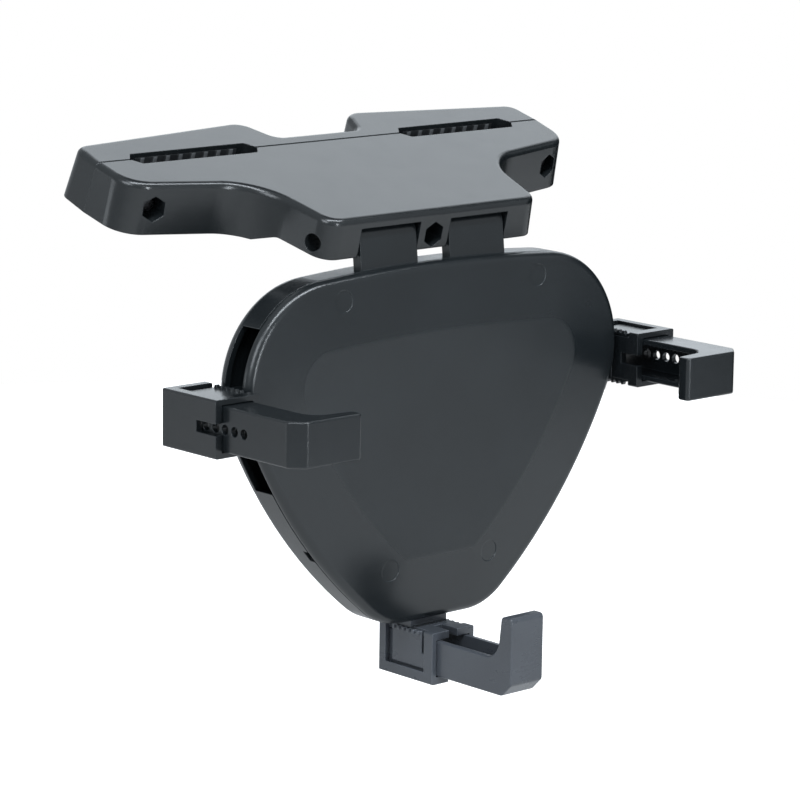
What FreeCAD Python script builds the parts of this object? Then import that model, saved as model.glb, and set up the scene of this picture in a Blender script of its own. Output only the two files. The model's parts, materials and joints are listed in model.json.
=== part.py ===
import FreeCAD, Part
import math
import os

# Headrest mount for a portable player, millimetres.
# Origin: centre of the clamp, midway between the two post slots.
# +X to the viewer's right, -Y towards the viewer, +Z up; the panel is vertical.
# The clamp is built level and then pitched, as it sits on leaning headrest posts.

V = FreeCAD.Vector
ORIGIN = V(0, 0, 0)
AXIS_X = V(1, 0, 0)
AXIS_Y = V(0, 1, 0)
AXIS_Z = V(0, 0, 1)

# Clearances
RUN = 0.05            # radial running fit of a pin in its hole
SLIP = 0.3            # between sliding pieces, each side
LOOSE = 0.35          # radial, a screw through a plain hole
PAST = 1.0            # a cut past the wall that it opens
CLEAR = 5.0           # a cut past an outer face
MERGE = 0.5           # a moulded-on form into its wall
SKIM = 0.1            # a cut just past a face whose far side stays

# Clamp housing
PITCH = 17.7          # lean of the clamp, degrees
JAW_H = 19.0
JAW_HALF = 109.7      # half width at the parting face
WING_FRONT = 19.5     # wing front face at its outer corner
WING_ROOT_X = 58.0
WING_ROOT = 28.4
BLOCK_HALF = 51.6     # half width of the front block
BLOCK_FRONT = 63.9
BLOCK_LIFT = 4.2      # front block underside above the wing underside
LIFT_END = 14.0       # raised underside ends this far in front of the wing root
LIFT_FOOT = 4.0       # foot of the slope down from it
LIFT_R = 6.0
WING_R = 12.0
ROOT_R = 22.0
BLOCK_R = 7.5
FLARE = 0.7           # draft of the walls, per side
END_DRAFT = 1.1       # lean of the end walls from the parting face
TOP_R = 2.4
GROOVE = 0.5          # half width of the groove along the parting line on top
REAR_END = 15.8
REAR_IN_X = 26.5
REAR_DEPTH = 22.8
NOTCH_X = 20.5
NOTCH_DEPTH = 7.6
REAR_R = 6.0
REAR_IN_R = 8.0
NOTCH_R = 5.0
SKIN = 3.0            # top wall over the underside pockets
POCKET_WALL = 4.0     # wall around the underside pockets
POCKET_R = 3.0
POCKET_BEND_R = 4.0
POCKET_END_R = 2.0

# Post slots and grips
SCREW_INSET = 12.7    # outer clamp screws in from the ends of the jaws
SCREW_X = JAW_HALF - SCREW_INSET
SLOT_END = 3.0        # slot tip in from the outer clamp screw
SLOT_TAPER = 3.1      # length of the pointed slot ends
SLOT_TIP_IN = 35.1
SLOT_TIP_OUT = SCREW_X - SLOT_END
SLOT_IN = SLOT_TIP_IN + SLOT_TAPER
SLOT_OUT = SLOT_TIP_OUT - SLOT_TAPER
SLOT_HALF = 4.2
SLOT_R = 1.0
GRIP_END = 2.9        # grip end in from the straight wall of its slot
GRIP_IN = SLOT_IN + GRIP_END
GRIP_OUT = SLOT_OUT - GRIP_END
GRIP_T = 1.8
GRIP_H = 15.4
RIB_N = 8
RIB_PITCH = (GRIP_OUT - GRIP_IN) / RIB_N
RIB_LAND = 0.45       # share of the pitch that a rib takes
RIB_W = RIB_PITCH * RIB_LAND
RIB_H = 0.8

# Clamp screws and nuts
SCREW_R = 2.5
SCREW_SEAT = 7.0
SCREW_LEN = 25.0
HEAD_R = 4.25
HEAD_H = 5.0
HEAD_SOCKET = 4.0
HEAD_CLEAR = 0.55
NUT_AF = 8.0
NUT_H = 4.0
NUT_SEAT = 6.5        # behind the parting face
POCKET_AF = 8.3

# Tilt hinge
HINGE_B = -57.5
HINGE_W = -0.8
HINGE_PIN_R = 1.75
HINGE_HEAD_R = 2.9
HINGE_HEAD_X = 41.0
HINGE_HEAD_H = 4.0
HINGE_SOCKET_R = 1.5  # corners of the hexagon socket
HINGE_TIP_X = 5.5
BARREL_R = 5.6
EAR_IN = 8.0
EAR_OUT = 35.3
EAR_T = 4.2
EAR_LEAN = 6.0
EAR_SIDE = 0.7        # gap at each side of an ear in its recess
EAR_ROUND = 0.7       # gap around the barrel
RECESS_ROOF = 6.3     # roof above the hinge axis

# Panel
PANEL_Y = -67.7       # front face
PANEL_T = 19.5
COVER_T = 5.5
CROWN = 1.6           # fall of the border from the pad to the rim
PAD_INSET = 25.5      # width of the border around the pad
WALL = 2.4
COVER_FLOOR = 3.6
COVER_R = 3.0
SHELL_R = 4.5
PARTING_R = 0.8       # softened edge of the cover where it meets the shell
TOP_Z = -28.5
CORNER_X = 53.5
CORNER_DROP = 40.0    # corner centre below the top of the panel
CORNER_R = 38.0
TOP_BOW_R = 750.0
SIDE_BOW_R = 200.0
FOOT_X = 16.0
FOOT_RISE = 27.0      # foot corner centre above the bottom edge, also its radius
BOTTOM_Z = -161.6
BOSS_TOP = (47.9, -38.3)
BOSS_FOOT = (24.6, -139.9)
BOSS_R = 4.5
SINK_R = 4.0
SINK_D = 0.25
TAP_R = 1.5
TAP_BITE = 1.0        # screw tip past the cover's inner face
TAP_HEAD_R = 3.1
TAP_HEAD_H = 2.6
TAP_SINK = 3.2
CROSS_HALF = 1.8      # cross recess of a panel screw
CROSS_T = 0.8
CROSS_SEAT = 1.2
RIM_SLOT_H = 60.0
RIM_SLOT_Y = 14.6
PRY_AT = (59.0, -130.5)
PRY_IN = 3.0
PRY_OUT = 5.0
PRY_HALF = 2.0
PRY_DEPTH = 2.5

# Arms
ARM_Z = -75.0
WEB_X = 110.1         # outer face of a side claw
FOOT_DROP = 19.4      # outer face of the bottom claw below the panel
FOOT_WEB_Z = BOTTOM_Z - FOOT_DROP
BAR_Y0 = 6.4
BAR_Y1 = 13.6
BAR_HALF = 9.0
POST_X = 60.0
POST_R = 3.0
PAD_R = 7.0
REACH = 40.0
SHOE_HALF = 7.0
SHOE_H = 3.95
BAR_END = 5.7
FOOT_BAR = 52.0
BAR_R = 1.0
ROUND_PLAY = 0.01     # a rounded end short of its full half circle

# Sleeve on the end of an arm, measured from the claw's outer face
SLEEVE_Y0 = -7.0
SLEEVE_Y1 = 22.0
SLEEVE_WALL = 2.8
SLEEVE_SIDE = 2.0
OUT_SLOT = 10.5
IN_SLOT = 8.5
SLOT_H = 4.2
WINDOW_FRONT = 4.6    # frame of the flank window in front of and behind it
WINDOW_REAR = 3.3
WINDOW_BAND = 4.1     # solid band of the flank along the outer wall
TONGUE_FRONT = 2.4    # gap in front of and behind the tongue
TONGUE_REAR = 2.9
TONGUE_GAP = 1.1
TONGUE_SINK = 1.0
TONGUE_T = 0.9
TONGUE_ROOT = 5.4
TONGUE_EDGE = 0.6     # tongue short of the sleeve's inner face
RIDGE_W = 1.5
RIDGE_H = 1.1
RIDGE_SINK = 0.4
RIDGE_N = 6

# Claw
CLAW_W = 16.1
CLAW_D = 13.4
CLAW_FRONT = -46.0
CLAW_REAR = 21.0
CLAW_CHAMFER = 4.9
CLAW_BEND_R = 2.2
TROUGH_R = 4.0
LIP = 29.6
LIP_ROOT_T = 7.4
LIP_TIP_T = 5.6
LIP_INNER_R = 7.0
LIP_R = 1.7
WEB_T = 2.0
FLANGE_T = 2.1
HOLE_R = 1.8
HOLE_PITCH = 5.0
HOLE_FIRST = -18.3
HOLE_N = 7
EDGE_R = 0.7


def flat(level):
    return lambda x, y: V(x, y, level)


def upright(depth):
    return lambda x, z: V(x, depth, z)


def rounded(points, radii, place):
    """Closed wire through corner points, each corner with its own radius."""
    count = len(points)
    corners = []
    for i in range(count):
        here = V(points[i][0], points[i][1], 0)
        before = V(points[i - 1][0], points[i - 1][1], 0) - here
        after = V(points[(i + 1) % count][0], points[(i + 1) % count][1], 0) - here
        before.normalize()
        after.normalize()
        radius = radii[i]
        if radius == 0:
            corners.append((here, here, None))
            continue
        half = before.getAngle(after) / 2
        middle = before + after
        middle.normalize()
        run = radius / math.tan(half)
        centre = here + middle * (radius / math.sin(half))
        corners.append((here + before * run, here + after * run, centre - middle * radius))
    edges = []
    for i in range(count):
        start, end, mid = corners[i]
        if mid is not None:
            through = [place(spot.x, spot.y) for spot in (start, mid, end)]
            edges.append(Part.Arc(*through).toShape())
        onward = corners[(i + 1) % count][0]
        if (onward - end).Length > 1e-6:
            edges.append(Part.makeLine(place(end.x, end.y), place(onward.x, onward.y)))
    return Part.Wire(edges)


def prism(points, radii, low, high):
    """Level profile raised from low to high."""
    return Part.Face(rounded(points, radii, flat(low))).extrude(V(0, 0, high - low))


def block(x0, x1, y0, y1, z0, z1):
    return Part.makeBox(x1 - x0, y1 - y0, z1 - z0, V(x0, y0, z0))


def rod(radius, start, end):
    way = end - start
    return Part.makeCylinder(radius, way.Length, start, way)


def hexagon(across, x, w, start, end):
    """Hexagonal prism along the clamp's depth, corners up and down."""
    radius = across / math.sqrt(3)
    corners = [(x + radius * math.sin(math.radians(60 * k)), w + radius * math.cos(math.radians(60 * k)))
               for k in range(6)]
    outline = rounded(corners, [0] * len(corners), upright(start))
    return Part.Face(outline).extrude(V(0, end - start, 0))


def mirrored(shape):
    return shape.mirror(ORIGIN, AXIS_X)


def pitched(shape):
    turned = shape.copy()
    turned.rotate(ORIGIN, AXIS_X, PITCH)
    return turned


def both(points, radii):
    """Outline of the right half, closed by its mirror image."""
    left = [(-x, y) for x, y in reversed(points) if x > 0]
    return points + left, radii + [r for (x, y), r in reversed(list(zip(points, radii))) if x > 0]


def drafted(points, radii):
    """Housing half raised between two outlines, the lower one wider, with a rounded top edge."""
    half = JAW_H / 2
    sign = 1 if points[1][1] > 0 else -1
    wires = []
    for level, grow in ((-half, FLARE), (half, -FLARE)):
        grown = [(x + grow if x > 0 else x, y if y == 0 else y + sign * grow) for x, y in points]
        outline, corner = both(grown, radii)
        wires.append(rounded(outline, corner, flat(level)))
    body = Part.makeLoft(wires, True, True)
    rim = [edge for edge in body.Edges if abs(edge.BoundBox.ZMin - half) < 1e-4
           and abs(edge.BoundBox.ZMax - half) < 1e-4
           and max(abs(edge.BoundBox.YMin), abs(edge.BoundBox.YMax)) > 1e-3]
    return body.makeFillet(TOP_R, rim)


def slot_cut(side, sign):
    """One post slot, pointed at both ends, cut into one jaw."""
    tall = JAW_H
    points = [(side * SLOT_TIP_IN, 0), (side * SLOT_IN, sign * SLOT_HALF),
              (side * SLOT_OUT, sign * SLOT_HALF), (side * SLOT_TIP_OUT, 0)]
    cut = prism(points, [0, SLOT_R, SLOT_R, 0], -tall, tall)
    seat = block(GRIP_IN, GRIP_OUT, SLOT_HALF - PAST, SLOT_HALF + GRIP_T, -GRIP_H / 2, GRIP_H / 2)
    if sign < 0:
        seat = seat.mirror(ORIGIN, AXIS_Y)
    if side < 0:
        seat = mirrored(seat)
    return cut.fuse(seat)


def parting_groove():
    """V groove along the top of the parting line, shared by both jaws."""
    top = JAW_H / 2
    profile = [(-GROOVE * 2, top + GROOVE), (0, top - GROOVE), (GROOVE * 2, top + GROOVE)]
    face = Part.Face(rounded(profile, [0] * 3, lambda b, w: V(-JAW_HALF - FLARE, b, w)))
    return face.extrude(V(2 * (JAW_HALF + FLARE), 0, 0))


def grip(side, sign):
    """Ribbed strip that fills its seat in the slot wall."""
    outline = [(GRIP_IN, SLOT_HALF + GRIP_T), (GRIP_IN, SLOT_HALF)]
    middle = (GRIP_IN + GRIP_OUT) / 2
    first = middle - RIB_PITCH * (RIB_N - 1) / 2
    for k in range(RIB_N):
        at = first + k * RIB_PITCH
        outline += [(at - RIB_W / 2, SLOT_HALF), (at - RIB_W / 4, SLOT_HALF - RIB_H),
                    (at + RIB_W / 4, SLOT_HALF - RIB_H), (at + RIB_W / 2, SLOT_HALF)]
    outline += [(GRIP_OUT, SLOT_HALF), (GRIP_OUT, SLOT_HALF + GRIP_T)]
    strip = prism([(side * x, sign * y) for x, y in outline], [0] * len(outline), -GRIP_H / 2, GRIP_H / 2)
    return pitched(strip)


def on_hinge(x):
    """Place on the tilt axis, before the clamp is pitched."""
    return V(x, HINGE_B, HINGE_W)


def front_jaw():
    points = [(0, -BLOCK_FRONT), (BLOCK_HALF, -BLOCK_FRONT), (WING_ROOT_X, -WING_ROOT),
              (JAW_HALF - END_DRAFT, -WING_FRONT), (JAW_HALF, 0)]
    body = drafted(points, [0, BLOCK_R, ROOT_R, WING_R, 0])
    low = -JAW_H / 2
    lift = low + BLOCK_LIFT
    ahead = -BLOCK_FRONT - CLEAR
    under = [(ahead, low - PAST), (ahead, lift), (-WING_ROOT - LIFT_END, lift),
             (-WING_ROOT - LIFT_FOOT, low - PAST)]
    step = Part.Face(rounded(under, [0, 0, LIFT_R, 0], lambda b, w: V(-JAW_HALF, b, w)))
    body = body.cut(step.extrude(V(2 * JAW_HALF, 0, 0)))
    back = -SLOT_HALF - GRIP_T - POCKET_WALL
    front = HINGE_B + BARREL_R + EAR_ROUND + POCKET_WALL
    near = POCKET_AF / 2 + POCKET_WALL * 1.5
    far = SCREW_X - POCKET_AF / 2 - POCKET_WALL * 1.5
    turn = BLOCK_HALF - POCKET_WALL * 2
    tip = JAW_HALF - END_DRAFT
    slope = (WING_ROOT - WING_FRONT) / (tip - WING_ROOT_X)
    bend = WING_ROOT_X - POCKET_WALL * 2
    wing = POCKET_WALL + FLARE - WING_FRONT
    hollow = [(near, back), (near, front), (turn, front), (bend, wing - slope * (tip - bend)),
              (far, wing - slope * (tip - far)), (far, back)]
    corners = [POCKET_R, POCKET_R, POCKET_BEND_R, POCKET_BEND_R, POCKET_END_R, POCKET_END_R]
    pocket = prism(hollow, corners, low - PAST, JAW_H / 2 - SKIN)
    cuts = [pocket, mirrored(pocket), parting_groove()]
    for side in (-1, 1):
        cuts.append(slot_cut(side, -1))
        recess_in = EAR_IN - EAR_SIDE
        recess_out = EAR_OUT + EAR_SIDE
        reach = BARREL_R + EAR_ROUND
        round_cut = rod(reach, on_hinge(recess_in), on_hinge(recess_out))
        mouth = block(recess_in, recess_out, ahead, HINGE_B, low - CLEAR, HINGE_W + RECESS_ROOF)
        under_cut = block(recess_in, recess_out, HINGE_B - PAST, HINGE_B + reach, low - CLEAR, HINGE_W)
        pin = rod(HINGE_PIN_R + RUN, on_hinge(HINGE_TIP_X), on_hinge(HINGE_HEAD_X + PAST))
        sink = rod(HINGE_HEAD_R + LOOSE, on_hinge(HINGE_HEAD_X), on_hinge(JAW_HALF))
        for cut in (round_cut, mouth, under_cut, pin, sink):
            cuts.append(cut if side > 0 else mirrored(cut))
    for x in (-SCREW_X, 0, SCREW_X):
        cuts.append(rod(SCREW_R + LOOSE, V(x, -NUT_SEAT - PAST, 0), V(x, PAST, 0)))
        cuts.append(hexagon(POCKET_AF, x, 0, ahead, -NUT_SEAT))
    return pitched(body.cut(cuts))


def rear_jaw():
    points = [(JAW_HALF, 0), (JAW_HALF - END_DRAFT, REAR_END), (REAR_IN_X, REAR_DEPTH),
              (NOTCH_X, NOTCH_DEPTH), (0, NOTCH_DEPTH)]
    body = drafted(points, [0, REAR_R, REAR_IN_R, NOTCH_R, 0])
    cuts = [parting_groove()]
    back = SLOT_HALF + GRIP_T + POCKET_WALL
    far = SCREW_X - HEAD_R - HEAD_CLEAR - POCKET_WALL
    hollow = [(GRIP_IN, back), (GRIP_IN, REAR_DEPTH - POCKET_WALL),
              (far, REAR_END - POCKET_WALL / 4), (far, back)]
    pocket = prism(hollow, [POCKET_END_R] * len(hollow), -JAW_H, JAW_H / 2 - SKIN)
    for side in (-1, 1):
        cuts.append(slot_cut(side, 1))
        cuts.append(pocket if side > 0 else mirrored(pocket))
    for x in (-SCREW_X, 0, SCREW_X):
        cuts.append(rod(SCREW_R + RUN, V(x, -PAST, 0), V(x, REAR_DEPTH, 0)))
        cuts.append(rod(HEAD_R + HEAD_CLEAR, V(x, SCREW_SEAT, 0), V(x, REAR_DEPTH + CLEAR, 0)))
    return pitched(body.cut(cuts))


def clamp_screws():
    made = []
    for x in (-SCREW_X, 0, SCREW_X):
        shank = rod(SCREW_R, V(x, SCREW_SEAT - SCREW_LEN, 0), V(x, SCREW_SEAT, 0))
        head = rod(HEAD_R, V(x, SCREW_SEAT, 0), V(x, SCREW_SEAT + HEAD_H, 0))
        drive = hexagon(HEAD_SOCKET, x, 0, SCREW_SEAT + HEAD_H / 2, SCREW_SEAT + HEAD_H + PAST)
        made.append(pitched(shank.fuse(head).removeSplitter().cut(drive)))
    return Part.makeCompound(made)


def clamp_nuts():
    made = []
    for x in (-SCREW_X, 0, SCREW_X):
        nut = hexagon(NUT_AF, x, 0, -NUT_SEAT - NUT_H, -NUT_SEAT)
        bore = rod(SCREW_R + RUN, V(x, -NUT_SEAT - NUT_H - PAST, 0), V(x, 0, 0))
        made.append(pitched(nut.cut(bore)))
    return Part.makeCompound(made)


def hinge_bolts():
    shank = rod(HINGE_PIN_R, on_hinge(HINGE_TIP_X), on_hinge(HINGE_HEAD_X))
    head = rod(HINGE_HEAD_R, on_hinge(HINGE_HEAD_X), on_hinge(HINGE_HEAD_X + HINGE_HEAD_H))
    turn = [(HINGE_B + HINGE_SOCKET_R * math.cos(math.radians(60 * k)),
             HINGE_W + HINGE_SOCKET_R * math.sin(math.radians(60 * k)))
            for k in range(6)]
    floor = HINGE_HEAD_X + HINGE_HEAD_H / 2
    drive = Part.Face(rounded(turn, [0] * len(turn), lambda b, w: V(floor, b, w)))
    bolt = shank.fuse(head).removeSplitter().cut(drive.extrude(V(HINGE_HEAD_H, 0, 0)))
    return Part.makeCompound([pitched(bolt), pitched(mirrored(bolt))])


def hinge_axis():
    lean = math.radians(PITCH)
    return V(0, HINGE_B * math.cos(lean) - HINGE_W * math.sin(lean),
             HINGE_B * math.sin(lean) + HINGE_W * math.cos(lean))


def panel_outline(inset, depth):
    """Rounded triangle of tangent arcs, moved inwards by inset."""
    corner_z = TOP_Z - CORNER_DROP
    foot_z = BOTTOM_Z + FOOT_RISE
    bow_z = corner_z - math.sqrt((TOP_BOW_R - CORNER_R) ** 2 - CORNER_X ** 2)
    gap_x = FOOT_X - CORNER_X
    gap_z = foot_z - corner_z
    gap = math.hypot(gap_x, gap_z)
    far = SIDE_BOW_R - CORNER_R
    near = SIDE_BOW_R - FOOT_RISE
    along = (far ** 2 - near ** 2 + gap ** 2) / (2 * gap)
    across = math.sqrt(far ** 2 - along ** 2)
    bow = (CORNER_X + gap_x / gap * along + gap_z / gap * across,
           corner_z + gap_z / gap * along - gap_x / gap * across)

    def on(centre, radius, degrees):
        turn = math.radians(degrees)
        return V(centre[0] + (radius - inset) * math.cos(turn), depth,
                 centre[1] + (radius - inset) * math.sin(turn))

    def heading(start, end):
        return math.degrees(math.atan2(end[1] - start[1], end[0] - start[0]))

    corner = (CORNER_X, corner_z)
    foot = (FOOT_X, foot_z)
    top = (0, bow_z)
    top_turn = heading(top, corner)
    high_turn = heading(bow, corner)
    low_turn = heading(bow, foot)
    arcs = [(corner, CORNER_R, top_turn, high_turn), (bow, SIDE_BOW_R, high_turn, low_turn),
            (foot, FOOT_RISE, low_turn, -90.0)]
    right = []
    for centre, radius, start, end in arcs:
        ends = [on(centre, radius, start), on(centre, radius, (start + end) / 2), on(centre, radius, end)]
        right.append(ends)
    edges = [Part.Arc(*ends).toShape() for ends in right]
    last = right[-1][2]
    edges.append(Part.makeLine(last, V(-last.x, depth, last.z)))
    for ends in reversed(right):
        edges.append(Part.Arc(*[V(-q.x, depth, q.z) for q in reversed(ends)]).toShape())
    first = right[0][0]
    edges.append(Part.Arc(V(-first.x, depth, first.z), on(top, TOP_BOW_R, 90.0), first).toShape())
    return Part.Wire(edges)


def panel_slab(inset, start, end):
    wire = panel_outline(inset, PANEL_Y + start)
    return Part.Face(wire).extrude(V(0, end - start, 0))


def bosses():
    return [(s * x, z) for x, z in (BOSS_TOP, BOSS_FOOT) for s in (-1, 1)]


def edges_at(shape, depth):
    return [edge for edge in shape.Edges if abs(edge.BoundBox.YMin - PANEL_Y - depth) < 1e-3
            and abs(edge.BoundBox.YMax - PANEL_Y - depth) < 1e-3]


def across(radius, x, z, start, end):
    """Round bar through the panel's depth, measured from its front face."""
    return rod(radius, V(x, PANEL_Y + start, z), V(x, PANEL_Y + end, z))


def front_cover():
    rim = panel_slab(0, CROWN, COVER_T)
    face = Part.makeLoft([panel_outline(0, PANEL_Y + CROWN), panel_outline(PAD_INSET, PANEL_Y)], True, True)
    body = rim.fuse(face).removeSplitter()
    body = body.makeFillet(COVER_R, edges_at(body, CROWN))
    body = body.makeFillet(PARTING_R, edges_at(body, COVER_T))
    sunk = body.translated(V(0, SINK_D, 0))
    body = body.cut(panel_slab(WALL, COVER_FLOOR, COVER_T + PAST))
    adds = []
    cuts = []
    for x, z in bosses():
        adds.append(across(BOSS_R, x, z, COVER_FLOOR - MERGE, COVER_T))
        cuts.append(across(TAP_R + RUN, x, z, COVER_FLOOR - TAP_BITE - SLIP, COVER_T + PAST))
        cuts.append(across(SINK_R, x, z, -PAST, COVER_FLOOR).cut(sunk))
    for side in (-1, 1):
        adds.append(across(PAD_R, side * POST_X, ARM_Z, COVER_FLOOR - MERGE, BAR_Y0 - SLIP))
    return body.fuse(adds).cut(cuts).removeSplitter()


def ear():
    """Hinge barrel with the leaning plate that joins it to the rear shell."""
    axis = hinge_axis()
    lean = math.radians(EAR_LEAN)
    out = (-math.cos(lean), math.sin(lean))
    down = (-math.sin(lean), -math.cos(lean))
    drop = axis.z - TOP_Z + WALL / 2
    profile = []
    for offset in (BARREL_R, BARREL_R - EAR_T):
        start = (out[0] * offset, out[1] * offset)
        run = (start[1] + drop) / -down[1]
        line = [start, (start[0] + down[0] * run, start[1] + down[1] * run)]
        profile += line if not profile else list(reversed(line))
    place = lambda y, z: V(EAR_IN, axis.y + y, axis.z + z)
    plate = Part.Face(rounded(profile, [0] * len(profile), place)).extrude(V(EAR_OUT - EAR_IN, 0, 0))
    barrel = rod(BARREL_R, V(EAR_IN, axis.y, axis.z), V(EAR_OUT, axis.y, axis.z))
    bore = rod(HINGE_PIN_R + RUN, V(EAR_IN - PAST, axis.y, axis.z), V(EAR_OUT + PAST, axis.y, axis.z))
    return plate.fuse(barrel).removeSplitter(), bore


def rear_shell():
    body = panel_slab(0, COVER_T, PANEL_T)
    body = body.makeFillet(SHELL_R, edges_at(body, PANEL_T))
    floor = PANEL_T - WALL
    body = body.cut(panel_slab(WALL, COVER_T - PAST, floor))
    adds = []
    cuts = []
    for x, z in bosses():
        adds.append(across(BOSS_R, x, z, COVER_T, floor + PAST))
        cuts.append(across(TAP_R + LOOSE, x, z, 0, PANEL_T))
        cuts.append(across(TAP_HEAD_R + LOOSE, x, z, PANEL_T - TAP_SINK, PANEL_T + PAST))
    plate, bore = ear()
    for side in (-1, 1):
        adds.append(across(PAD_R, side * POST_X, ARM_Z, BAR_Y1 + SLIP, floor + PAST))
        adds.append(across(POST_R, side * POST_X, ARM_Z, BAR_Y0, floor + PAST))
        adds.append(plate if side > 0 else mirrored(plate))
        cuts.append(bore if side > 0 else mirrored(bore))
        rail = block(BAR_HALF + SLIP, BAR_HALF + SLIP + WALL, PANEL_Y + BAR_Y0, PANEL_Y + floor + PAST,
                     BOTTOM_Z + WALL / 2, FOOT_WEB_Z + CLAW_D + FOOT_BAR)
        adds.append(rail if side > 0 else mirrored(rail))
        gate = block(CORNER_X, WEB_X, PANEL_Y, PANEL_Y + RIM_SLOT_Y,
                     ARM_Z - RIM_SLOT_H / 2, ARM_Z + RIM_SLOT_H / 2)
        pry = block(PRY_AT[0] - PRY_IN, PRY_AT[0] + PRY_OUT, PANEL_Y, PANEL_Y + COVER_T + PRY_DEPTH,
                    PRY_AT[1] - PRY_HALF, PRY_AT[1] + PRY_HALF)
        gate = gate.fuse(pry)
        gate = gate.cut(panel_slab(WALL * 1.6, 0, PANEL_T))
        cuts.append(gate if side > 0 else mirrored(gate))
    cuts.append(block(-BAR_HALF - SLIP, BAR_HALF + SLIP, PANEL_Y, PANEL_Y + RIM_SLOT_Y,
                      BOTTOM_Z - CLEAR, BOTTOM_Z + WALL + PAST))
    return body.fuse(adds).cut(cuts).removeSplitter()


def panel_screws():
    made = []
    seat = PANEL_Y + PANEL_T - TAP_SINK
    for x, z in bosses():
        shank = rod(TAP_R, V(x, PANEL_Y + COVER_FLOOR - TAP_BITE, z), V(x, seat, z))
        head = rod(TAP_HEAD_R, V(x, seat, z), V(x, seat + TAP_HEAD_H, z))
        cross = block(x - CROSS_HALF, x + CROSS_HALF, seat + CROSS_SEAT, seat + TAP_HEAD_H + PAST,
                      z - CROSS_T / 2, z + CROSS_T / 2)
        turned = cross.copy()
        turned.rotate(V(x, 0, z), AXIS_Y, 90)
        made.append(shank.fuse(head).removeSplitter().cut([cross, turned]))
    return Part.makeCompound(made)


# Arm and claw are drawn for the right-hand side with the claw's outer face at X = 0,
# then turned about Y and moved to their places.
def side_place(shape, turn, x, z):
    placed = shape.copy()
    placed.rotate(ORIGIN, AXIS_Y, turn)
    placed.translate(V(x, PANEL_Y, z))
    return placed


def claw():
    lip_back = CLAW_FRONT + LIP_ROOT_T
    plan = [(0, CLAW_REAR), (0, CLAW_FRONT + CLAW_CHAMFER), (-CLAW_CHAMFER, CLAW_FRONT),
            (-LIP, CLAW_FRONT), (-LIP, CLAW_FRONT + LIP_TIP_T), (-CLAW_D, lip_back), (-CLAW_D, CLAW_REAR)]
    radii = [0, CLAW_BEND_R, CLAW_BEND_R, LIP_R, LIP_R, LIP_INNER_R, 0]
    half = CLAW_W / 2
    body = prism(plan, radii, -half, half)
    rims = [edge for edge in body.Edges if edge.BoundBox.ZMax - edge.BoundBox.ZMin < 1e-4
            and edge.BoundBox.YMin < CLAW_REAR - 1e-3]
    body = body.makeFillet(EDGE_R, rims)
    inner = half - FLANGE_T
    past = -CLAW_D - LIP
    trough = [(past, CLAW_REAR + PAST), (-WEB_T, CLAW_REAR + PAST), (-WEB_T, lip_back + PAST),
              (past, lip_back + PAST)]
    body = body.cut(prism(trough, [0, 0, TROUGH_R, 0], -inner, inner))
    along = [HOLE_FIRST + k * HOLE_PITCH for k in range(HOLE_N)]
    holes = [rod(HOLE_R, V(-WEB_T - PAST, y, 0), V(PAST, y, 0)) for y in along]
    return body.cut(holes)


def ridge(y0, y1, x0, x1, base):
    """Row of finger teeth along a tongue's free edge."""
    step = (y1 - y0) / RIDGE_N
    outline = [(y0, base - RIDGE_SINK)]
    for k in range(RIDGE_N):
        outline += [(y0 + step * (k + 0.15), base), (y0 + step * (k + 0.35), base + RIDGE_H),
                    (y0 + step * (k + 0.65), base + RIDGE_H), (y0 + step * (k + 0.85), base)]
    outline += [(y1, base - RIDGE_SINK)]
    wire = rounded(outline, [0] * len(outline), lambda y, z: V(x0, y, z))
    return Part.Face(wire).extrude(V(x1 - x0, 0, 0))


def sleeve():
    half = CLAW_W / 2 + SLIP
    outer_x = SLIP + SLEEVE_WALL
    inner_x = -CLAW_D - SLIP - SLEEVE_WALL
    top = half + SLEEVE_SIDE
    box = block(inner_x, outer_x, SLEEVE_Y0, SLEEVE_Y1, -top, top)
    long_edges = [edge for edge in box.Edges if edge.BoundBox.YMax - edge.BoundBox.YMin > 1]
    box = box.makeFillet(EDGE_R, long_edges)
    cuts = [block(inner_x + SLEEVE_WALL, SLIP, SLEEVE_Y0 - PAST, SLEEVE_Y1 + PAST, -half, half)]
    cuts.append(block(0, outer_x + PAST, SLEEVE_Y0 - PAST, SLEEVE_Y0 + OUT_SLOT, -SLOT_H / 2, SLOT_H / 2))
    cuts.append(block(inner_x - PAST, inner_x + SLEEVE_WALL + PAST, SLEEVE_Y0 - PAST, SLEEVE_Y0 + IN_SLOT,
                      -SLOT_H / 2, SLOT_H / 2))
    window_y0 = SLEEVE_Y0 + WINDOW_FRONT
    window_y1 = SLEEVE_Y1 - WINDOW_REAR
    tongue_y0 = window_y0 + TONGUE_FRONT
    tongue_y1 = window_y1 - TONGUE_REAR
    window = block(inner_x - PAST, outer_x - WINDOW_BAND, window_y0, window_y1, half - SKIM, top + PAST)
    face = top - TONGUE_SINK
    edge_x = outer_x - WINDOW_BAND - TONGUE_GAP
    free_x = inner_x + TONGUE_EDGE
    plate = block(free_x, edge_x, tongue_y0, tongue_y1, face - TONGUE_T, face)
    root = block(edge_x - TONGUE_ROOT, edge_x, window_y0 - MERGE, tongue_y0 + MERGE, face - TONGUE_T, face)
    teeth = ridge(tongue_y0, tongue_y1, free_x, free_x + RIDGE_W, face)
    tongue = plate.fuse([root, teeth])
    level = V(0, 0, 1)
    cuts += [window, window.mirror(ORIGIN, level)]
    return box.cut(cuts).fuse([tongue, tongue.mirror(ORIGIN, level)]), inner_x


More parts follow.
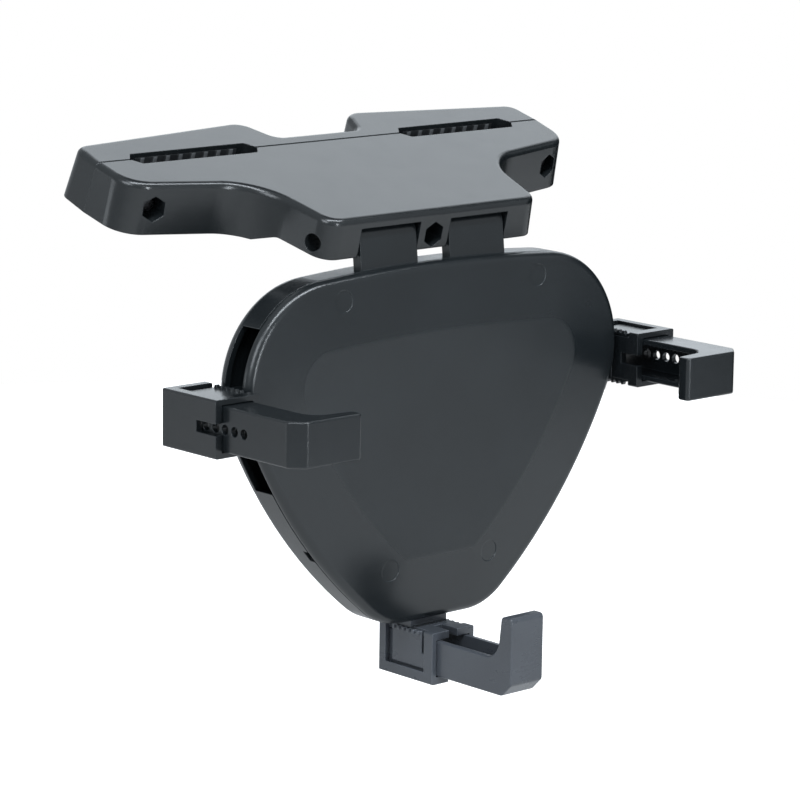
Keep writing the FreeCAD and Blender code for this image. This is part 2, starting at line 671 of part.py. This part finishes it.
def side_arm():
    body, inner_x = sleeve()
    post = POST_X - WEB_X
    end = post - REACH - SHOE_HALF - SLIP - BAR_END
    root = inner_x + MERGE
    bar = prism([(root, BAR_Y0), (root, BAR_Y1), (end, BAR_Y1), (end, BAR_Y0)],
                [0, 0, BAR_R, BAR_R], -BAR_HALF, BAR_HALF)
    track_half = SHOE_H + SLIP
    near = post + SHOE_HALF + SLIP
    far = post - REACH - SHOE_HALF - SLIP
    track = [(near, -track_half), (near, track_half), (far, track_half), (far, -track_half)]
    wire = rounded(track, [track_half - ROUND_PLAY] * len(track), upright(BAR_Y0 - PAST))
    bar = bar.cut(Part.Face(wire).extrude(V(0, BAR_Y1 - BAR_Y0 + 2 * PAST, 0)))
    return body.fuse(bar).removeSplitter()


def foot_arm():
    body, inner_x = sleeve()
    end = inner_x - FOOT_BAR + (SLIP + SLEEVE_WALL)
    root = inner_x + MERGE
    bar = prism([(root, BAR_Y0), (root, BAR_Y1), (end, BAR_Y1), (end, BAR_Y0)],
                [0, 0, BAR_R, BAR_R], -BAR_HALF, BAR_HALF)
    return body.fuse(bar).removeSplitter()


def pivot_shoe(side):
    points = [(side * POST_X - SHOE_HALF, ARM_Z - SHOE_H), (side * POST_X + SHOE_HALF, ARM_Z - SHOE_H),
              (side * POST_X + SHOE_HALF, ARM_Z + SHOE_H), (side * POST_X - SHOE_HALF, ARM_Z + SHOE_H)]
    wire = rounded(points, [SHOE_H - ROUND_PLAY] * len(points), upright(PANEL_Y + BAR_Y0))
    shoe = Part.Face(wire).extrude(V(0, BAR_Y1 - BAR_Y0, 0))
    start = V(side * POST_X, PANEL_Y, ARM_Z)
    return shoe.cut(rod(POST_R + RUN, start, start + V(0, PANEL_T, 0)))


def save(name, shape):
    shape.exportStep(os.path.join("parts", name + ".step"))


os.makedirs("parts", exist_ok=True)
save("front_jaw", front_jaw())
save("rear_jaw", rear_jaw())
for side, word in ((-1, "left"), (1, "right")):
    save("front_grip_" + word, grip(side, -1))
    save("rear_grip_" + word, grip(side, 1))
    save("pivot_shoe_" + word, pivot_shoe(side))
save("clamp_screws", clamp_screws())
save("clamp_nuts", clamp_nuts())
save("hinge_bolts", hinge_bolts())
save("front_cover", front_cover())
save("rear_shell", rear_shell())
save("panel_screws", panel_screws())
one_arm = side_arm()
one_claw = claw()
for side, turn, word in ((-1, 180, "left"), (1, 0, "right")):
    save("arm_" + word, side_place(one_arm, turn, side * WEB_X, ARM_Z))
    save("claw_" + word, side_place(one_claw, turn, side * WEB_X, ARM_Z))
save("arm_bottom", side_place(foot_arm(), 90, 0, FOOT_WEB_Z))
save("claw_bottom", side_place(one_claw, 90, 0, FOOT_WEB_Z))
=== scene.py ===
import json
import math

import bpy
from mathutils import Matrix, Vector

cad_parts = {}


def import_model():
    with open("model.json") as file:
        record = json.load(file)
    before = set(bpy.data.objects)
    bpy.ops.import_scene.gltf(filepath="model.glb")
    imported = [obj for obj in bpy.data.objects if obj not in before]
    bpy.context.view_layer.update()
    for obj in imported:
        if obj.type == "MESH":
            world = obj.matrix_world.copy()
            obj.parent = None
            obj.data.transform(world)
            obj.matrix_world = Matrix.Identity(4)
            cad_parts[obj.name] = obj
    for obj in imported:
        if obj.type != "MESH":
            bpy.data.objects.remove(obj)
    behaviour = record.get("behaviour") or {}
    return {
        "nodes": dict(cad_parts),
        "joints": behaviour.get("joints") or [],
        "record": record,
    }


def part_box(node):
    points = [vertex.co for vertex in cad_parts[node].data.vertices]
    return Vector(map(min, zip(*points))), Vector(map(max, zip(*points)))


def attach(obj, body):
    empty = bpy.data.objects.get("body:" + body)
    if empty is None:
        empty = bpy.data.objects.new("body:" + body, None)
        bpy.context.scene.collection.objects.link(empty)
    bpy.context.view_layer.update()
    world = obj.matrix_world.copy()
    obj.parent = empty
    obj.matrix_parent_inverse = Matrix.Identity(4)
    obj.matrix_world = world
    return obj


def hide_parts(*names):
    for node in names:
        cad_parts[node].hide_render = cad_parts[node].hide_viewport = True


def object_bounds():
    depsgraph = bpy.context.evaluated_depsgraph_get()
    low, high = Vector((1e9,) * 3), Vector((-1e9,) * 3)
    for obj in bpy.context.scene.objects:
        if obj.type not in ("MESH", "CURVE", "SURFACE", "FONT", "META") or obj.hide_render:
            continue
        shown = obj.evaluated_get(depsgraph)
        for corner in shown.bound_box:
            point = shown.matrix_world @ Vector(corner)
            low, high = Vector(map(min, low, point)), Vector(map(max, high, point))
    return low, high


# Headrest mount for a portable player: materials, cut screw threads, light and camera.
# Metres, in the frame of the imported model: +X to the viewer's right, -Y towards the viewer, +Z up.
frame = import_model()
cad_low, cad_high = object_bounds()
NODES = frame["nodes"]
RECORD = frame["record"]
scene = bpy.context.scene

MM = 0.001
FULL_TURN = 2 * math.pi
SHARP_ANGLE = math.radians(32.0)            # edges steeper than this stay sharp
EDGE_SOFT = 0.45 * MM                       # rounding of the moulded edges in the shading
EDGE_SAMPLES = 4
EDGE_MASK = (0.75, 0.99)                    # cosines between which an edge fades into its faces

# Noises: size of their grain, octaves of detail, roughness from octave to octave
MOULD_GRAIN = (0.55 * MM, 3.0, 0.65)
SPECK = (0.22 * MM, 1.0, 0.5)
CLOUD = (38 * MM, 3.0, 0.5)
SMEAR = (11 * MM, 4.0, 0.6)
RUBBER_GRAIN = (0.55 * MM, 2.0, 0.5)
DUST = (11 * MM, 5.0, 0.7)
MOTTLE = (2.5 * MM, 3.0, 0.5)
TURNING = (0.5 * MM, 2.0, 0.5)
SPECKLE = (1 / 60, 3.0, 0.5)
NOISE_RANGE = (0.3, 0.7)                    # where a noise has most of its values

# Plastics
TONE_SPREAD = (0.72, 1.3)                   # darkest and lightest cloud, in shares of the tone
GLOSS_SPREAD = (-0.025, 0.03)               # added to the roughness, from clear to smeared
CLOUD_SHARE = 0.55                          # of clouds in the tone, and the rest specks
SMEAR_SHARE = 0.6                           # of smears in the gloss, and the rest clouds
SMEAR_STRETCH = (1.0, 1.0, 2.2)
WEAR_AND_HIGHLIGHT = 4.5                                  # how much paler an edge is: partly wear, partly a painted highlight
EDGE_SHARE = 0.5                            # how much of that shows along an edge
PLASTIC_IOR = 1.5

# The panel's front has a flat pad, duller and grainier than the border around it
PAD_FACE_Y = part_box("front_cover")[0].y
CROWN = 1.6 * MM                            # fall of the border from the pad to the rim
PAD_FADE = (0.01, 0.05)                     # the pad's edge, in shares of the crown
PAD_DULL = 0.22                             # added to the pad's roughness
BORDER_GRAIN = 0.08                         # the border's grain, in shares of the pad's

# Ribbed rubber grips in the post slots
OPENING = Vector(next(j for j in frame["joints"] if j["name"] == "clamp_slide")["axis"])
RUBBER_SPREAD = (0.7, 2.0)
RUBBER_ROUGHNESS = (0.50, 0.66)
RUBBER_SHINE = 0.3
RUBBER_DEPTH = 0.03 * MM
RIB_CREST = 3.4 * MM                        # rib crests from the parting face
# Pale colour of the rib crests: a painted highlight
CREST_HIGHLIGHT = (0.085, 0.088, 0.092)
CREST_HIGHLIGHT_FADE = (0.1 * MM, 0.4 * MM)           # where the crests' painted highlight fades, beyond the crests

# Plated steel
STEEL_SPREAD = (0.75, 1.1)
STEEL_ROUGHNESS = (0.22, 0.4)
TURNING_STRETCH = (0.25, 1.0, 1.0)
TURNING_DEPTH = 0.01 * MM

# Clamp screws, along the way the clamp opens
SCREW_R = 2.5 * MM
SCREW_LEN = 25.0 * MM
SCREW_SEAT = 7.0 * MM
SCREW_SIDES = 60
HEAD_R = 4.25 * MM
HEAD_H = 5.0 * MM
HEAD_CHAMFER = 0.4 * MM
SOCKET_HALF = 2.0 * MM
SOCKET_DEPTH = 2.5 * MM
THREAD_PITCH = 0.8 * MM
THREAD_DEPTH = 0.42 * MM
THREAD_ROWS = 5                             # rows of faces in one turn of thread
KNURL_DEPTH = 0.13 * MM
KNURL_STEP = 3                              # sides of the head from ridge to ridge

# Stage
FLOOR_DROP = 0.045                          # floor below the mount
FLOOR_R = 0.75
FLOOR_SIDES = 64
FLOOR_TONES = ((0.58, 0.58, 0.58), (0.62, 0.62, 0.62))
FLOOR_ROUGHNESS = 0.8
FLOOR_SHINE = 0.1
FLOOR_GLOSSY = 0.22                         # its glow in reflections
WHITE = (1, 1, 1, 1)
COOL = (0.90, 0.97, 1.03)                   # colour of the studio's light
SKY_DIFFUSE = 0.45
SKY_GLOSSY = 0.66

# The unlit side of the studio and its unlit ceiling: way there, cosines of start and end, least level
DIM_SIDE = Vector((0.98, -0.09, -0.17)).normalized()
DIM_TOP = Vector((0.55, -0.05, 0.83)).normalized()
DIMMED = ((DIM_SIDE, 0.775, 0.86, 0.0), (DIM_TOP, 0.80, 0.93, 0.15))

# Softboxes: name, place, aim, width, height, watts
LAMPS = (("top_back", (1.05, 0.88, 1.0), (0, 0, 0), 1.5, 1.1, 7.0),
         ("low_back", (1.0, 1.15, 0.24), (0, 0, -0.08), 1.4, 0.25, 1.3),
         ("strip_front", (0.0, -0.66, 1.12), (0, 0, -0.02), 1.6, 0.16, 21.0),
         ("strip_left", (-1.09, 0.62, -0.06), (0, 0, -0.09), 0.16, 0.5, 0.8),
         ("strip_low", (-0.05, -1.4, 0.05), (0, 0, -0.09), 0.08, 0.7, 6.5),
         ("fill_left", (-1.3, -0.6, 0.7), (0, 0, -0.08), 0.7, 0.8, 10.5))

# Camera at the photograph's viewing angle
IMAGE_PX = 800
FOCAL_PX = 3574.66
SENSOR_MM = 36.0
CAMERA_AT = Vector((-0.872713, -0.999863, 0.176315))
CAMERA_AZ = math.radians(-42.395)
CAMERA_EL = math.radians(11.343)
CAMERA_ROLL = math.radians(0.796)
CLIP_NEAR = 0.05
CLIP_FAR = 60.0


def rgba(tone, share=1.0):
    """A tone, or a share of it, as a socket takes it."""
    return (*[c * share for c in tone], 1)


class Graph:
    """A node tree and short ways to add nodes to it."""

    def __init__(self, tree):
        self.nodes = tree.nodes
        self.links = tree.links

    def add(self, kind, **settings):
        """A new node with its settings."""
        node = self.nodes.new(kind)
        for key, value in settings.items():
            setattr(node, key, value)
        return node

    def feed(self, socket, value):
        """Links another node's output to a socket, or sets a plain value on it."""
        if isinstance(value, bpy.types.NodeSocket):
            self.links.new(value, socket)
        else:
            socket.default_value = value

    def math(self, operation, first, second=0.0):
        """Arithmetic on one or two values."""
        node = self.add("ShaderNodeMath", operation=operation)
        self.feed(node.inputs[0], first)
        self.feed(node.inputs[1], second)
        return node.outputs["Value"]

    def dot(self, first, second):
        """Dot product of two vectors."""
        node = self.add("ShaderNodeVectorMath", operation="DOT_PRODUCT")
        self.feed(node.inputs[0], first)
        self.feed(node.inputs[1], second)
        return node.outputs["Value"]

    def blend(self, first, second, share):
        """Weighted mean of two values."""
        return self.math("ADD", self.math("MULTIPLY", first, share), self.math("MULTIPLY", second, 1 - share))

    def spread(self, source, ends, across=NOISE_RANGE, way="LINEAR"):
        """Maps a value across one range to the range between two ends."""
        node = self.add("ShaderNodeMapRange", interpolation_type=way)
        self.feed(node.inputs["Value"], source)
        for key, value in zip(("From Min", "From Max", "To Min", "To Max"), (*across, *ends)):
            node.inputs[key].default_value = value
        return node.outputs["Result"]

    def mix(self, share, first, second):
        """Colour between two colours."""
        node = self.add("ShaderNodeMix", data_type="RGBA")
        self.feed(node.inputs["Factor"], share)
        self.feed(node.inputs["A"], first)
        self.feed(node.inputs["B"], second)
        return node.outputs["Result"]


class Shader(Graph):
    """A principled material, with what moulded and turned surfaces need."""

    def __init__(self, name):
        self.material = bpy.data.materials.new(name)
        self.material.use_nodes = True
        super().__init__(self.material.node_tree)
        self.base = self.nodes["Principled BSDF"]
        self.place = self.add("ShaderNodeTexCoord").outputs["Object"]

    def give(self, key, value):
        """Sets or links one of the material's own sockets."""
        self.feed(self.base.inputs[key], value)

    def noise(self, size, detail, rough, stretch=None):
        """Noise fixed to the piece."""
        node = self.add("ShaderNodeTexNoise")
        for key, value in (("Scale", 1 / size), ("Detail", detail), ("Roughness", rough)):
            node.inputs[key].default_value = value
        where = self.place
        if stretch:
            mapping = self.add("ShaderNodeMapping")
            mapping.inputs["Scale"].default_value = stretch
            self.feed(mapping.inputs["Vector"], where)
            where = mapping.outputs["Vector"]
        self.feed(node.inputs["Vector"], where)
        return node.outputs["Fac"]

    def tones(self, noise, tone, shares):
        """Colour that a noise takes from a darker to a lighter share of a tone."""
        dark, light = [rgba(tone, share) for share in shares]
        return self.mix(self.spread(noise, (0.0, 1.0)), dark, light)

    def rounded(self):
        """Normal rounded at the edges."""
        bevel = self.add("ShaderNodeBevel", samples=EDGE_SAMPLES)
        bevel.inputs["Radius"].default_value = EDGE_SOFT
        return bevel.outputs["Normal"]

    def edges(self, rounded):
        """Mask that is bright along the edges."""
        plain = self.add("ShaderNodeNewGeometry").outputs["Normal"]
        return self.spread(self.dot(rounded, plain), (1.0, 0.0), EDGE_MASK)

    def bump(self, height, depth, normal):
        """Normal with a relief of some depth on it."""
        node = self.add("ShaderNodeBump")
        node.inputs["Strength"].default_value = 1.0
        node.inputs["Distance"].default_value = depth
        self.feed(node.inputs["Height"], height)
        self.feed(node.inputs["Normal"], normal)
        return node.outputs["Normal"]


def plastic(name, tone, roughness, depth, shine=0.5, pad=False):
    """Dark moulded plastic: fine grain, cloudy gloss, paler edges that are partly wear and partly a painted
    highlight, and a duller pad on the panel.
    """
    made = Shader(name)
    normal = made.rounded()
    cloud = made.noise(*CLOUD)
    smear = made.noise(*SMEAR, SMEAR_STRETCH)
    grain = made.noise(*MOULD_GRAIN)
    clouded = made.tones(made.blend(cloud, made.noise(*SPECK), CLOUD_SHARE), tone, TONE_SPREAD)
    # Paler edges: partly wear, partly a painted highlight along the rounded edges
    edge = made.math("MULTIPLY", made.edges(normal), EDGE_SHARE)
    made.give("Base Color", made.mix(edge, clouded, rgba(tone, WEAR_AND_HIGHLIGHT)))
    gloss = made.spread(made.blend(smear, cloud, SMEAR_SHARE), [roughness + more for more in GLOSS_SPREAD])
    if pad:
        split = made.add("ShaderNodeSeparateXYZ")
        made.feed(split.inputs["Vector"], made.place)
        fade = [PAD_FACE_Y + CROWN * share for share in PAD_FADE]
        inside = made.spread(split.outputs["Y"], (1.0, 0.0), fade)
        gloss = made.math("ADD", gloss, made.math("MULTIPLY", inside, PAD_DULL))
        grain = made.math("MULTIPLY", grain, made.spread(inside, (BORDER_GRAIN, 1.0), (0.0, 1.0)))
    made.give("Roughness", gloss)
    made.give("Normal", made.bump(grain, depth, normal))
    made.give("IOR", PLASTIC_IOR)
    made.give("Specular IOR Level", shine)
    return made.material


def rubber(name, tone):
    """Dull moulded rubber with a dusty bloom and a painted highlight on the rib crests."""
    made = Shader(name)
    dust = made.noise(*DUST)
    off = made.math("ABSOLUTE", made.dot(made.place, OPENING))
    # Painted highlight on the rib crests, by their distance from the parting face
    crest_highlight = made.spread(off, (1.0, 0.0), [RIB_CREST + step for step in CREST_HIGHLIGHT_FADE])
    made.give("Base Color", made.mix(crest_highlight, made.tones(dust, tone, RUBBER_SPREAD), rgba(CREST_HIGHLIGHT)))
    made.give("Roughness", made.spread(dust, RUBBER_ROUGHNESS))
    made.give("Normal", made.bump(made.noise(*RUBBER_GRAIN), RUBBER_DEPTH, made.rounded()))
    made.give("Specular IOR Level", RUBBER_SHINE)
    return made.material


def steel(name, tone):
    """Plated steel with turning marks and a mottled plating."""
    made = Shader(name)
    mottle = made.noise(*MOTTLE)
    lines = made.noise(*TURNING, TURNING_STRETCH)
    made.give("Base Color", made.tones(mottle, tone, STEEL_SPREAD))
    made.give("Roughness", made.spread(mottle, STEEL_ROUGHNESS))
    made.give("Normal", made.bump(lines, TURNING_DEPTH, made.rounded()))
    made.give("Metallic", 1.0)
    return made.material


HOUSING = plastic("housing_plastic", tone=(0.0075, 0.0092, 0.0102), roughness=0.24, depth=0.006 * MM)
PANEL = plastic("panel_plastic", tone=(0.0075, 0.0096, 0.0110), roughness=0.25, depth=0.055 * MM, pad=True)
SHELL = plastic("shell_plastic", tone=(0.0072, 0.0090, 0.0102), roughness=0.25, depth=0.010 * MM)
ARM = plastic("arm_plastic", tone=(0.0070, 0.0086, 0.0098), roughness=0.25, depth=0.008 * MM)
CLAW = plastic("claw_plastic", tone=(0.0075, 0.0094, 0.0108), roughness=0.22, depth=0.006 * MM, shine=0.45)
FOOT = plastic("foot_plastic", tone=(0.050, 0.055, 0.064), roughness=0.28, depth=0.008 * MM)
SHOE = plastic("shoe_nylon", tone=(0.28, 0.27, 0.24), roughness=0.45, depth=0.010 * MM)
GRIP = rubber("grip_rubber", tone=(0.008, 0.009, 0.010))
STEEL = steel("zinc_steel", tone=(0.60, 0.60, 0.59))
BLACK_STEEL = steel("black_steel", tone=(0.05, 0.05, 0.052))

# By the record's material slots. The shell's back, and the bottom arm and claw, have their own tones
FINISH = {"housing": HOUSING, "panel": PANEL, "arm": ARM, "claw": CLAW, "shoe": SHOE, "grip": GRIP,
          "steel": STEEL, "black_steel": BLACK_STEEL}
OWN_FINISH = {"rear_shell": SHELL, "arm_bottom": FOOT, "claw_bottom": FOOT}
for part in RECORD["subparts"]:
    name = part["node"]
    node = NODES[name]
    node.data.materials.clear()
    node.data.materials.append(OWN_FINISH.get(name, FINISH[part["material_slot"]]))


def shade(obj):
    """Smooth shading that keeps sharp edges sharp."""
    obj.data.shade_smooth()
    obj.data.set_sharp_from_angle(angle=SHARP_ANGLE)


def plain(radius):
    """A row of points around a screw at one radius."""
    return lambda b, turn: radius


def thread(b, turn):
    """Radius of a single-start thread at one place along and around the screw."""
    phase = (b / THREAD_PITCH - turn / FULL_TURN) % 1.0
    return SCREW_R - THREAD_DEPTH * abs(2 * phase - 1)


def knurl(b, turn):
    """Radius of the head's knurled side."""
    side = round(turn / FULL_TURN * SCREW_SIDES)
    return HEAD_R if side % KNURL_STEP == 0 else HEAD_R - KNURL_DEPTH


def socket(b, turn):
    """Radius of the hexagon socket."""
    sixth = FULL_TURN / 6
    return SOCKET_HALF / math.cos((turn % sixth) - sixth / 2)


def clamp_screws():
    """Three cap screws with cut threads and knurled heads, where their plain solids are."""
    tip = SCREW_SEAT - SCREW_LEN
    top = SCREW_SEAT + HEAD_H
    count = round(SCREW_LEN / THREAD_PITCH * THREAD_ROWS)
    rows = [(tip, plain(SCREW_R - 2 * THREAD_DEPTH))]
    rows += [(tip + SCREW_LEN * k / count, thread) for k in range(1, count)]
    rows += [(SCREW_SEAT, plain(SCREW_R)),
             (SCREW_SEAT, plain(HEAD_R - HEAD_CHAMFER)),
             (SCREW_SEAT + HEAD_CHAMFER, knurl),
             (top - 2 * HEAD_CHAMFER, knurl),
             (top - HEAD_CHAMFER, plain(HEAD_R - KNURL_DEPTH)),
             (top, plain(HEAD_R - HEAD_CHAMFER)),
             (top, socket),
             (top - SOCKET_DEPTH, socket)]
    along = OPENING
    across = Vector((1, 0, 0))
    above = across.cross(along)
    low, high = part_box("clamp_screws")
    points, faces = [], []
    for x in (low.x + HEAD_R, (low.x + high.x) / 2, high.x - HEAD_R):
        start = len(points)
        for b, radius in rows:
            for k in range(SCREW_SIDES):
                turn = FULL_TURN * k / SCREW_SIDES
                r = radius(b, turn)
                points.append(across * (x + r * math.cos(turn)) + along * b + above * (r * math.sin(turn)))
        last = start + (len(rows) - 1) * SCREW_SIDES
        for here in range(start, last, SCREW_SIDES):
            after = here + SCREW_SIDES
            for k in range(SCREW_SIDES):
                following = (k + 1) % SCREW_SIDES
                faces.append((here + k, after + k, after + following, here + following))
        faces.append(tuple(start + k for k in range(SCREW_SIDES)))
        faces.append(tuple(last + k for k in reversed(range(SCREW_SIDES))))
    mesh = bpy.data.meshes.new("clamp_screws_cut")
    mesh.from_pydata(points, [], faces)
    mesh.materials.append(BLACK_STEEL)
    made = bpy.data.objects.new("clamp_screws_cut", mesh)
    scene.collection.objects.link(made)
    shade(made)
    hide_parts("clamp_screws")
    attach(made, "clamp")


def floor():
    """Pale floor that the camera sees as white, like the photograph's background."""
    mesh = bpy.data.meshes.new("floor")
    level = cad_low.z - FLOOR_DROP
    turns = [FULL_TURN * k / FLOOR_SIDES for k in range(FLOOR_SIDES)]
    rim = [(FLOOR_R * math.cos(turn), FLOOR_R * math.sin(turn), level) for turn in turns]
    mesh.from_pydata(rim, [], [tuple(range(FLOOR_SIDES))])
    made = bpy.data.objects.new("floor", mesh)
    scene.collection.objects.link(made)
    paint = Shader("floor_paint")
    paint.give("Base Color", paint.mix(paint.noise(*SPECKLE), *[rgba(tone) for tone in FLOOR_TONES]))
    paint.give("Roughness", FLOOR_ROUGHNESS)
    paint.give("Specular IOR Level", FLOOR_SHINE)
    path = paint.add("ShaderNodeLightPath").outputs
    seen = paint.math("MAXIMUM", path["Is Camera Ray"], path["Is Transmission Ray"])
    mirrored = paint.math("MULTIPLY", path["Is Glossy Ray"], FLOOR_GLOSSY)
    paint.give("Emission Color", WHITE)
    paint.give("Emission Strength", paint.math("ADD", seen, mirrored))
    mesh.materials.append(paint.material)


def world():
    """White surroundings for the camera, a soft level of light, and two dim sides in the reflections."""
    sky = bpy.data.worlds.new("studio")
    scene.world = sky
    sky.use_nodes = True
    made = Graph(sky.node_tree)
    back = made.nodes["Background"]
    path = made.add("ShaderNodeLightPath").outputs
    seen = made.math("MAXIMUM", path["Is Camera Ray"], path["Is Transmission Ray"])
    made.feed(back.inputs["Color"], made.mix(seen, rgba(COOL), WHITE))
    way = made.add("ShaderNodeTexCoord").outputs["Generated"]
    level = made.spread(path["Is Glossy Ray"], (SKY_DIFFUSE, SKY_GLOSSY), (0.0, 1.0))
    for toward, start, end, least in DIMMED:
        fade = made.spread(made.dot(way, toward), (1.0, least), (start, end), "SMOOTHSTEP")
        level = made.math("MULTIPLY", level, fade)
    made.feed(back.inputs["Strength"], made.math("MAXIMUM", seen, level))


def softbox(name, place, aim, width, height, watts):
    """A rectangular light that faces its aim."""
    lamp = bpy.data.lights.new(name, "AREA")
    lamp.shape = "RECTANGLE"
    lamp.size = width
    lamp.size_y = height
    lamp.energy = watts
    lamp.color = COOL
    made = bpy.data.objects.new(name, lamp)
    made.location = place
    made.rotation_euler = (Vector(aim) - Vector(place)).to_track_quat("-Z", "Y").to_euler()
    scene.collection.objects.link(made)


def camera():
    """The camera as fitted to the photograph."""
    flat = math.cos(CAMERA_EL)
    back = Vector((math.sin(CAMERA_AZ) * flat, -math.cos(CAMERA_AZ) * flat, math.sin(CAMERA_EL)))
    level = Vector((math.cos(CAMERA_AZ), math.sin(CAMERA_AZ), 0))
    upright = back.cross(level)
    right = level * math.cos(CAMERA_ROLL) + upright * math.sin(CAMERA_ROLL)
    up = upright * math.cos(CAMERA_ROLL) - level * math.sin(CAMERA_ROLL)
    data = bpy.data.cameras.new("camera")
    data.sensor_width = SENSOR_MM
    data.lens = FOCAL_PX / IMAGE_PX * SENSOR_MM
    data.clip_start = CLIP_NEAR
    data.clip_end = CLIP_FAR
    made = bpy.data.objects.new("camera", data)
    made.matrix_world = Matrix.Translation(CAMERA_AT) @ Matrix((right, up, back)).transposed().to_4x4()
    scene.collection.objects.link(made)
    scene.camera = made


for node in NODES.values():
    shade(node)
clamp_screws()
floor()
world()
for lamp in LAMPS:
    softbox(*lamp)
camera()
scene.view_settings.view_transform = "Standard"
